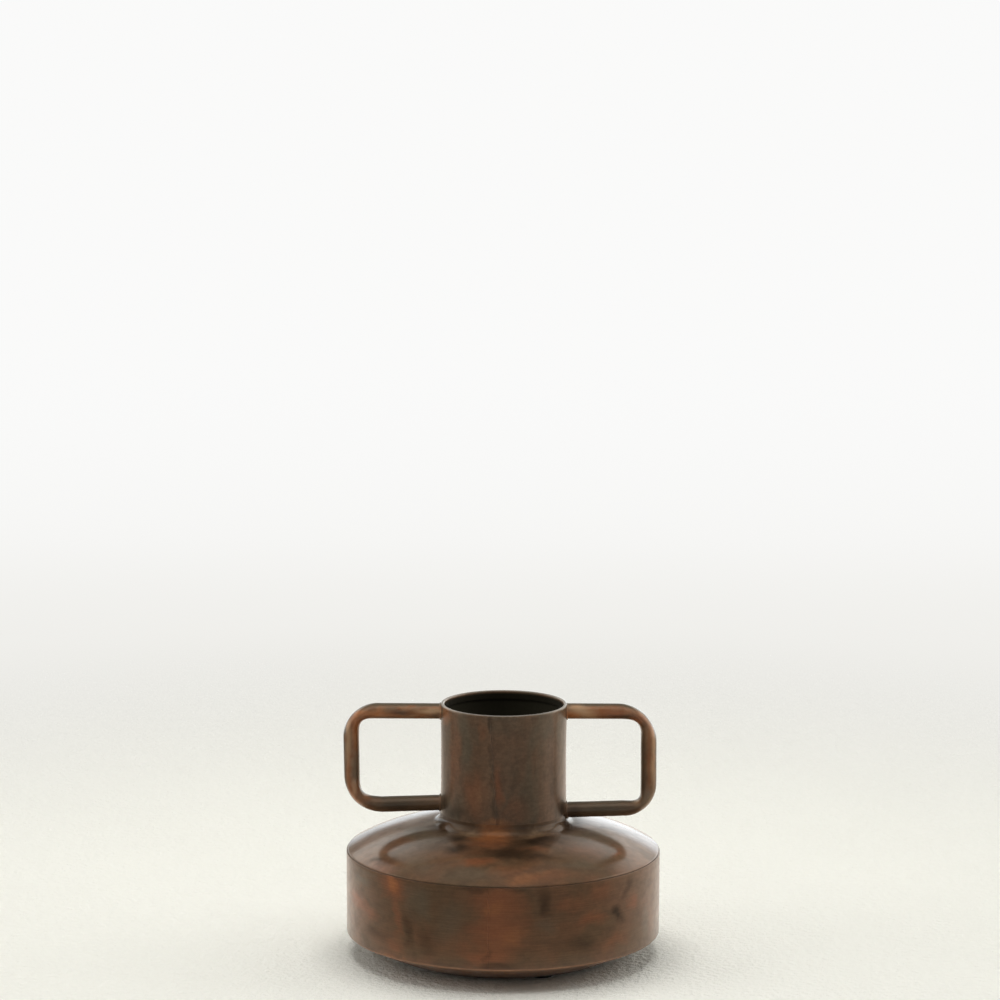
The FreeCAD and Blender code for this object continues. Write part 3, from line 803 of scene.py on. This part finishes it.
def patina_material(name, colours, stains, cloud_size, stretch, fineness, coolness, seed, coat_roughness,
                    level=False, lip=None):
    """Patinated sheet under satin lacquer, with its own stains and painted shade and light, blackened where the
    mesh is marked as inside.
    """
    material, shader, _, place = new_material(name, {
        "Coat Roughness": coat_roughness, "Coat IOR": 1.5, "Specular Tint": SPECULAR_TINT})
    clouds = place.group("Clouds", {"Size": cloud_size, "Stretch": stretch, "Seed": seed})
    lines = place.group("Brushed lines", {"Fineness": fineness, "Seed": seed})
    colour = (clouds["Cloud"] * 0.25).mix(plain_mix(coolness, colours.brown, colours.olive), colours.copper)
    colour = (clouds["Mottle"].ramp(0.4, 1.0) * 0.14).mix(colour, colours.umber)
    colour, dull = add_stains(clouds["Warped"], colour, stains, colours, level)
    if lip:
        colour = mark_neck(place, clouds["Mottle"], colour, colours, lip)
    shade = (lines["Lines"] * 0.22 + 0.88) * (clouds["Speckle"] * 0.12 + 0.94)
    inside = result(shader.id_data, "ShaderNodeAttribute", output="Fac", attribute_name="inside")
    _, _, z = place.xyz()
    # Painted shade: the hem's inner face, above 251 mm, keeps the darker inside colour against the light it
    # catches, and the wall below it gets a lighter one
    black = z.ramp(0.251, 0.246).mix(colours.inside, (0.032, 0.030, 0.020))
    set_inputs(shader, {
        "Base Color": inside.mix(colour.tinted(shade.grey()), black),
        "Metallic": (1.0 - inside) * METALLIC,
        "Roughness": clouds["Mottle"] * 0.16 + 0.32 + lines["Lines"] * 0.05 + inside * 0.3,
        "Coat Weight": (clouds["Cloud"] * 0.15 + 0.85) * (1.0 - dull * 0.6) * (1.0 - inside),
        "Normal": (lines["Height"] + clouds["Speckle"] * 0.4).bump(0.25)})
    return material


def rubber_material(name, colours):
    """Matt black rubber with a little dust."""
    material, shader, _, place = new_material(name, {"Specular IOR Level": 0.35})
    clouds = place.group("Clouds", {"Size": 0.01, "Seed": 4.0})
    set_inputs(shader, {"Base Color": (clouds["Mottle"] * 0.2).mix(colours.rubber, (0.07, 0.065, 0.06)),
                        "Roughness": clouds["Mottle"] * 0.25 + 0.6, "Normal": clouds["Speckle"].bump(0.3)})
    return material


# A stain of a handle is (colour, strength, distance from the axis, height, width, tall, and tilt in degrees where
# it has one), lengths in millimetres. The tan entries are painted highlights.
HANDLE_STAINS_AND_HIGHLIGHTS = {
    "left": (
        ("orange", 0.5, 128, 249, 40, 5), ("umber", 0.7, 97, 250, 34, 4), ("orange", 0.4, 84, 250, 22, 4),
        ("tan", 0.75, 72, 251.5, 24, 4), ("copper", 0.5, 148, 242, 16, 12), ("orange", 0.45, 150, 228, 5, 26),
        ("tan", 0.5, 158, 220, 4, 44), ("copper", 0.4, 157, 190, 4, 30), ("umber", 0.25, 147, 194, 3, 50),
        ("olive", 0.7, 150, 190, 9, 34), ("copper", 0.6, 152, 170, 9, 16), ("tan", 0.4, 152, 172, 4, 14),
        ("orange", 0.3, 142, 160, 14, 6, 30), ("olive", 0.9, 96, 151, 76, 20), ("umber", 0.5, 104, 157, 70, 12),
        ("umber", 0.5, 108, 151, 40, 8), ("brown", 0.5, 78, 153, 30, 8)),
    "right": (
        ("tan", 0.8, 80, 251, 22, 9, 20), ("orange", 0.6, 70, 249, 14, 7), ("orange", 0.3, 92, 250, 20, 7),
        ("copper", 0.7, 112, 250, 26, 6), ("umber", 0.7, 122, 246, 30, 4), ("copper", 0.6, 136, 244, 14, 8),
        ("brown", 0.7, 147, 200, 7, 60), ("copper", 0.4, 148, 206, 3, 60), ("tan", 0.35, 152, 206, 4, 56),
        ("umber", 0.55, 141, 200, 6, 62), ("olive", 0.5, 141, 200, 5, 62), ("olive", 0.7, 146, 162, 16, 14),
        ("tan", 0.4, 136, 156, 8, 5, 30), ("olive", 0.95, 104, 147, 80, 22), ("umber", 0.4, 104, 152, 70, 11),
        ("umber", 0.6, 72, 147, 14, 12)),
}


def handle_material(name, colours, side, stains, seed):
    """Patinated tube under satin lacquer, with a painted highlight of pale copper along the sides that face the
    front and the back, and painted shade of dark olive on its top and bottom.
    """
    material, shader, _, place = new_material(name, {
        "Metallic": METALLIC, "Coat Weight": 1.0, "Coat Roughness": 0.14, "Coat IOR": 1.5,
        "Specular Tint": SPECULAR_TINT})
    x, y, z = place.xyz()
    # The back half takes the pattern of the front half
    depth = y.math("ABSOLUTE") * -1.0
    folded = x.into("ShaderNodeCombineXYZ", {"Y": depth, "Z": z})
    clouds = folded.group("Clouds", {"Size": 0.014, "Stretch": (0.5, 1.4, 0.5), "Seed": seed})
    depth = depth + (clouds["Mottle"] - 0.5) * 0.002
    # Painted highlight: pale copper along the sides that face the front and the back; painted shade: dark olive on
    # the top and bottom of the tube
    highlighted = depth.ramp(-0.003, -0.0078) * (clouds["Cloud"] * 0.55 + 0.45)
    dark, bright = plain_mix(0.45, colours.olive, colours.umber), plain_mix(0.4, colours.copper, colours.brown)
    colour = highlighted.mix(dark, bright)
    colour = (highlighted * clouds["Mottle"] * 0.4).mix(colour, colours.tan)
    warped = folded.scaled(0.6).vector("ADD", clouds["Warped"].scaled(0.4))
    for key, strength, across, height, width, tall, *tilt in stains:
        mask = warped.group("Stain", {
            "Centre": (side * across * MM, -TUBE_RADIUS * MM, height * MM), "Size": (width * MM, 0.014, tall * MM),
            "Strength": strength, "Turn": (0, math.radians(sum(tilt)) * side, 0)})["Mask"]
        colour = mask.mix(colour, getattr(colours, key))
    brighter = 1.4
    set_inputs(shader, {"Base Color": colour.tinted((brighter,) * 3), "Roughness": clouds["Mottle"] * 0.2 + 0.3,
                        "Normal": clouds["Speckle"].bump(0.2)})
    return material


class VaseOperator:
    """What the piece operators share."""
    bl_options = {"REGISTER", "UNDO"}

    @property
    def sizes(self):
        return bpy.context.scene.vase_sizes

    @property
    def colours(self):
        return bpy.context.scene.vase_colours

    def make_sheet(self, name, profile, finish, node, closed=True):
        sheet = spun_line(name, profile(self.sizes), closed)
        apply_trees(sheet, {"Spun sheet": {
            "Segments": self.sizes.segments, "Dent depth": self.sizes.dent_depth,
            "Dent size": self.sizes.dent_size, "Seed": self.sizes.seed, "Sharp angle": math.radians(34),
            "Material": finish}})
        settle(sheet, "patinated_sheet", node)


class VASE_OT_neck(VaseOperator, bpy.types.Operator):
    """Makes the rolled neck with its hemmed rim"""
    bl_idname = "vase.make_neck"
    bl_label = "Make Neck"

    def execute(self, context):
        finish = patina_material(
            "neck_patina", self.colours, NECK_STAINS_AND_SHADE, cloud_size=0.03, stretch=(1.2, 1.2, 0.6),
            fineness=(160, 160, 320), coolness=0.7, seed=1.0, coat_roughness=0.24, lip=self.sizes.overall_height)
        self.make_sheet("rolled_neck", neck_profile, finish, "neck_tube")
        return {"FINISHED"}


class VASE_OT_shoulder(VaseOperator, bpy.types.Operator):
    """Makes the spun shoulder with its cove and dome"""
    bl_idname = "vase.make_shoulder"
    bl_label = "Make Shoulder"

    def execute(self, context):
        finish = patina_material(
            "shoulder_patina", self.colours, SHOULDER_STAINS_AND_PAINTED_LIGHT, cloud_size=0.045, stretch=(1, 1, 1),
            fineness=(90, 90, 260), coolness=0.2, seed=2.0, coat_roughness=0.15, level=True)
        self.make_sheet("spun_shoulder", shoulder_profile, finish, "shoulder_dome")
        return {"FINISHED"}


class VASE_OT_band(VaseOperator, bpy.types.Operator):
    """Makes the rolled side band"""
    bl_idname = "vase.make_band"
    bl_label = "Make Band"

    def execute(self, context):
        finish = patina_material(
            "band_patina", self.colours, BAND_STAINS_AND_REFLECTION, cloud_size=0.045, stretch=(1, 1, 1.3),
            fineness=(36, 36, 900), coolness=0.15, seed=3.0, coat_roughness=0.2)
        self.make_sheet("rolled_band", band_profile, finish, "side_band")
        return {"FINISHED"}


class VASE_OT_base(VaseOperator, bpy.types.Operator):
    """Makes the shallow dish under the band"""
    bl_idname = "vase.make_base"
    bl_label = "Make Base"

    def execute(self, context):
        finish = patina_material(
            "base_patina", self.colours, BASE_STAINS_AND_REFLECTION, cloud_size=0.05, stretch=(1, 1, 1), fineness=(60, 60, 500),
            coolness=0.5, seed=5.0, coat_roughness=0.25)
        self.make_sheet("spun_base", base_profile, finish, "base_dish", closed=False)
        return {"FINISHED"}


class VASE_OT_handles(VaseOperator, bpy.types.Operator):
    """Makes the two bent tube handles"""
    bl_idname = "vase.make_handles"
    bl_label = "Make Handles"

    def execute(self, context):
        for number, (side, form) in enumerate(HANDLES.items()):
            finish = handle_material(side + "_handle_patina", self.colours, form["side"], HANDLE_STAINS_AND_HIGHLIGHTS[side],
                                     11.0 + number)
            points, narrowing = zip(*handle_path(self.sizes, form))
            handle = line_object(side + "_tube_handle", points, False, {"narrowing": narrowing})
            apply_trees(handle, {"Bent tube": {
                "Tube radius": TUBE_RADIUS * MM, "Sides": 48, "Neck radius": self.sizes.neck_radius,
                "Cove height": COVE_CENTRE[1] * MM, "Cove radius": COVE_RADIUS * MM, "Dent depth": 0.0002,
                "Dent size": 0.02, "Seed": self.sizes.seed + number, "Material": finish}})
            settle(handle, "handle_tube", side + "_handle")
        return {"FINISHED"}


class VASE_OT_welds(VaseOperator, bpy.types.Operator):
    """Makes the weld beads at the handle ends and the weld lines of the neck and the band"""
    bl_idname = "vase.make_welds"
    bl_label = "Make Welds"

    def execute(self, context):
        # Each bead has its name, path, whether that is closed, radius, ripple, unevenness and the finish round it
        beads = [(side + "_" + level, joint_path(self.sizes, form, form[level], rise), True, 0.95, 0.2, 0.15,
                  side + "_handle_patina")
                 for side, form in HANDLES.items() for level, rise in (("upper", 0.0), ("lower", form["rise"]))]
        beads.append(("neck_seam", neck_seam_path(self.sizes), False, 0.82, 0.1, 0.06, "neck_patina"))
        beads.append(("band_seam", band_seam_path(self.sizes), False, 0.78, 0.04, 0.04, "band_patina"))
        for number, (name, path, closed, radius, ripple, uneven, finish) in enumerate(beads):
            bead = line_object(name + "_bead", path, closed)
            apply_trees(bead, {"Weld bead": {
                "Bead radius": radius * MM, "Ripple pitch": self.sizes.ripple_pitch, "Ripple depth": ripple,
                "Unevenness": uneven, "Sides": 14, "Seed": self.sizes.seed + number,
                "Material": bpy.data.materials[finish]}})
            settle(bead, "weld_metal", name + "_weld")
        return {"FINISHED"}


class VASE_OT_pads(VaseOperator, bpy.types.Operator):
    """Makes the three rubber pads"""
    bl_idname = "vase.make_pads"
    bl_label = "Make Pads"

    def execute(self, context):
        finish = rubber_material("pad_rubber", self.colours)
        pads = spun_line("rubber_pads", pad_profile(self.sizes), False)
        apply_trees(pads, {
            "Spun sheet": {"Segments": 64, "Dent depth": 0.0, "Sharp angle": math.radians(50), "Material": finish},
            "Ring of pads": {"Count": 3, "Circle radius": PAD_CIRCLE * MM,
                             "First angle": math.radians(FIRST_PAD_ANGLE), "Material": finish}})
        settle(pads, "pad_rubber", "front_pad", "rear_pad", "side_pad")
        return {"FINISHED"}


def studio_mirror(place):
    """What the vase's finish mirrors of the floor: a dim room, paler in front and at the far floor's edge."""
    x, y, z = place.xyz()
    away = place.vector("LENGTH", output="Value")
    front = (y / away).ramp(-0.62, 0.5)
    left = x.ramp(-0.3, -0.65) * 0.66
    right = x.ramp(0.3, 0.65) * 0.25
    behind = (x.math("ABSOLUTE") / away).ramp(0.24, 0.09) * z.ramp(0.3, 0.8)
    wall = x.ramp(-0.1, -0.3) * z.ramp(0.35, 0.5)
    level = (front * 0.7 + 0.2) * (1.0 - left - right) * (1.0 - behind * 0.6) * (1.0 - wall * 0.3)
    pale_left = z.ramp(0.65, 0.35) * 0.8
    pale_right = z.ramp(1.15, 0.6) * x.ramp(0.05, 0.35) * 1.3
    horizon = away.ramp(1.8, 2.4) * pale_left.math("MAXIMUM", pale_right)
    colour = horizon.ramp(0.0, 0.6).mix((1.0, 0.935, 0.835), (0.88, 0.96, 1.0))
    return colour.into("ShaderNodeEmission", {"Strength": level + horizon})


def studio_floor(colours):
    """A floor that curves up into a low wall behind. Far off and in reflections it shows its own plain level."""
    depth, width, bend, wall, bend_steps = 3.0, 4.5, 0.6, 1.1, 15
    line = [(-4.0, 0.0), (-1.0, 0.0)]
    line += [(depth - bend + bend * math.sin(turn), bend - bend * math.cos(turn))
             for turn in (math.pi / 2 * step / bend_steps for step in range(bend_steps + 1))]
    line.append((depth, wall))
    points = [(x, y, z) for y, z in line for x in (-width, width)]
    faces = [(2 * n, 2 * n + 1, 2 * n + 3, 2 * n + 2) for n in range(len(line) - 1)]
    mesh = bpy.data.meshes.new("studio_floor")
    mesh.from_pydata(points, [], faces)
    mesh.polygons.foreach_set("use_smooth", [True] * len(faces))
    floor = bpy.data.objects.new("studio_floor", mesh)
    bpy.context.scene.collection.objects.link(floor)
    material, shader, output, place = new_material("studio_paint", {"Roughness": 0.7, "Specular IOR Level": 0.15})
    grain = place.into("ShaderNodeTexNoise", {"Scale": 150.0, "Detail": 4.0, "Roughness": 0.6})
    patch = place.into("ShaderNodeTexNoise", {"Scale": 5.0, "Detail": 4.0})
    shade = grain * 0.05 + 0.95 + patch * 0.03
    set_inputs(shader, {"Base Color": shade.grey().tinted(colours.floor), "Normal": grain.bump(0.8, 0.004)})
    _, y, z = place.xyz()
    far_tone = (y + z).ramp(1.4, 3.2).mix((0.865, 0.857, 0.825), (0.955, 0.955, 0.95))
    away = place.vector("LENGTH", output="Value")
    rays = outputs_of(shader.id_data.nodes.new("ShaderNodeLightPath"))
    surface = Value(shader.outputs[0])
    for share, shown in (
            (away.ramp(0.5, 1.8) * rays["Is Camera Ray"], far_tone.into("ShaderNodeEmission", {"Strength": 1.0})),
            (away.ramp(0.19, 0.3) * rays["Is Glossy Ray"], studio_mirror(place))):
        surface = share.into("ShaderNodeMixShader", {1: surface, 2: shown})
    set_inputs(output, {"Surface": surface})
    mesh.materials.append(material)
    return floor


def studio_light(name, place, target, size, power):
    """A soft lamp aimed at a point, which the vase doesn't show in its reflections."""
    lamp = bpy.data.lights.new(name, "AREA")
    lamp.shape = "RECTANGLE"
    lamp.size, lamp.size_y = size
    lamp.energy = power
    lamp.color = (1, 0.985, 0.95)
    stand = bpy.data.objects.new(name, lamp)
    stand.location = place
    stand.rotation_euler = (Vector(target) - Vector(place)).to_track_quat("-Z", "Y").to_euler()
    stand.visible_glossy = False
    bpy.context.scene.collection.objects.link(stand)


def studio_world():
    """Plain and pale to the camera. To the vase, pale low behind and beside it, dim elsewhere, and a soft box."""
    world = bpy.data.worlds.new("studio_world")
    world.use_nodes = True
    tree = world.node_tree
    tree.nodes.clear()
    x, y, z = result(tree, "ShaderNodeTexCoord", output="Generated").xyz()
    rays = outputs_of(tree.nodes.new("ShaderNodeLightPath"))
    aside = x.math("ABSOLUTE")
    low = (z - aside * 0.25).ramp(0.64, 0.44)
    middle = aside.ramp(0.24, 0.09) * 0.85
    left = x.ramp(-0.45, -0.7) * 0.4
    level = y.ramp(-0.6, 0.3) * low * (1.05 - left - middle) + 0.2
    soft_box = z.ramp(0.6, 0.78) * y.ramp(0.05, -0.2) * aside.ramp(0.5, 0.25)
    level = level + soft_box * rays["Is Glossy Ray"] * 0.35
    around = result(tree, "ShaderNodeBackground", {"Color": (0.98, 1.0, 0.96, 1.0), "Strength": level})
    seen = result(tree, "ShaderNodeBackground", {"Color": (0.955, 0.955, 0.95, 1.0), "Strength": 1.0})
    shown = rays["Is Camera Ray"].into("ShaderNodeMixShader", {1: around, 2: seen})
    add_node(tree, "ShaderNodeOutputWorld", {"Surface": shown})
    return world


class VASE_OT_studio(VaseOperator, bpy.types.Operator):
    """Makes the pale floor, the soft lights and the camera"""
    bl_idname = "vase.make_studio"
    bl_label = "Make Studio"

    def execute(self, context):
        scene = context.scene
        studio_floor(self.colours)
        studio_light("overhead_soft_box", (-0.05, 0.3, 2.3), (0, 0, 0.1), (1.7, 1.7), 41)
        studio_light("left_window", (-2.4, -0.5, 1.3), (0, 0, 0.15), (1.2, 1.8), 14)
        studio_light("right_window", (2.4, 0.2, 1.3), (0, 0, 0.15), (1.2, 1.8), 10)
        scene.world = studio_world()
        scene.view_settings.view_transform = "Standard"
        lens = bpy.data.cameras.new("photo_camera")
        lens.sensor_width = 36.0
        lens.lens = 144.0
        lens.clip_start = 0.1
        camera = bpy.data.objects.new("photo_camera", lens)
        camera.location = (-0.0049, -3.9747, 1.1105)
        down, roll = math.radians(9.19), math.radians(0.26)
        aim = Matrix.Rotation(math.pi / 2 - down, 3, "X") @ Matrix.Rotation(roll, 3, "Z")
        camera.rotation_euler = aim.to_euler()
        scene.collection.objects.link(camera)
        scene.camera = camera
        return {"FINISHED"}


OPERATORS = (VASE_OT_neck, VASE_OT_shoulder, VASE_OT_band, VASE_OT_base, VASE_OT_handles, VASE_OT_welds,
             VASE_OT_pads, VASE_OT_studio)


class VASE_PT_panel(bpy.types.Panel):
    """Lists the sizes, the colours and the pieces"""
    bl_idname = "VASE_PT_panel"
    bl_label = "Urn Vase"
    bl_space_type = "VIEW_3D"
    bl_region_type = "UI"
    bl_category = "Urn Vase"

    def draw(self, context):
        for group in (context.scene.vase_sizes, context.scene.vase_colours):
            for name in group.__annotations__:
                self.layout.prop(group, name)
        for operator in OPERATORS:
            self.layout.operator(operator.bl_idname)


CLASSES = (VaseSizes, VaseColours, *OPERATORS, VASE_PT_panel)


def register():
    for kind in CLASSES:
        bpy.utils.register_class(kind)
    bpy.types.Scene.vase_sizes = bpy.props.PointerProperty(type=VaseSizes)
    bpy.types.Scene.vase_colours = bpy.props.PointerProperty(type=VaseColours)


def unregister():
    del bpy.types.Scene.vase_colours
    del bpy.types.Scene.vase_sizes
    for kind in reversed(CLASSES):
        bpy.utils.unregister_class(kind)


def main():
    """Makes every piece and the studio."""
    register()
    for operator in OPERATORS:
        group, name = operator.bl_idname.split(".")
        getattr(getattr(bpy.ops, group), name)()
    bpy.context.view_layer.update()


if __name__ == "__main__":
    main()
